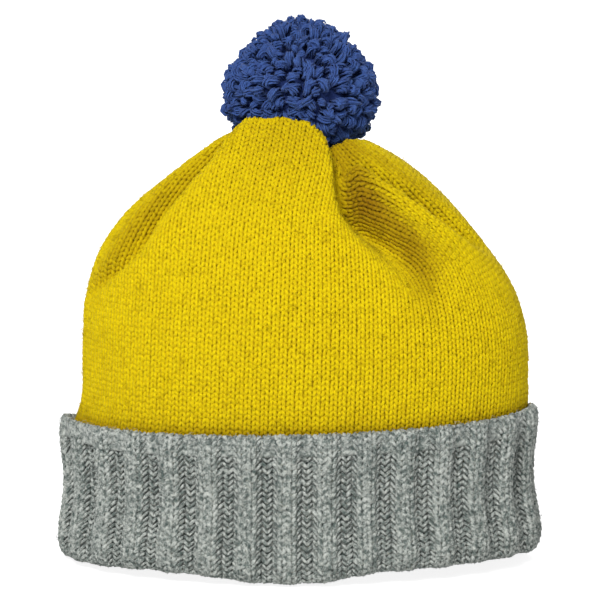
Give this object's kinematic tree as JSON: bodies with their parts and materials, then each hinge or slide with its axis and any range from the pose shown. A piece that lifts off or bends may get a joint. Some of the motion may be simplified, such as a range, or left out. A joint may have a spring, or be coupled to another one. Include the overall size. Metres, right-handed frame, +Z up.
{
  "type": "knit beanie",
  "caption": "Knit hat with a gathered stocking-stitch crown, a fold-up ribbed band and a tied wool pompom that tips on its tie.",
  "frame": {"origin": "middle of the opening, on the plane that the folded band stands on", "axes": "+Z up through the crown, -Y the front, +Y the back seam, +X the wearer's left"},
  "size_m": [0.215, 0.1324, 0.2349],
  "materials": {
    "yellow_wool": "brushed mustard lambswool in stocking stitch",
    "grey_marl_wool": "mid-grey marl lambswool in 2x2 rib",
    "blue_wool": "royal blue wool yarn, cut ends"
  },
  "bodies": {
    "hat": {"crown": "yellow_wool", "rib_band": "grey_marl_wool", "joining_seam": "grey_marl_wool", "crown_back_seam": "yellow_wool", "band_back_seam": "grey_marl_wool", "gather_yarn": "yellow_wool"},
    "tie": {"tails_knot": "blue_wool"},
    "pompom": {"pompom_tufts": "blue_wool", "pompom_binding": "blue_wool", "pompom_tails": "blue_wool"}
  },
  "joints": [
    {"name": "pompom_sway", "type": "hinge", "parent": "hat", "child": "tie", "pos_m": [0.002, 0.015, 0.166], "axis": [0, 1, 0], "range_deg": [-8, 8], "stiffness_Nm_per_rad": 0.2},
    {"name": "pompom_nod", "type": "hinge", "parent": "tie", "child": "pompom", "pos_m": [0.002, 0.015, 0.166], "axis": [1, 0, 0], "range_deg": [-16, 2], "stiffness_Nm_per_rad": 0.2}
  ]
}
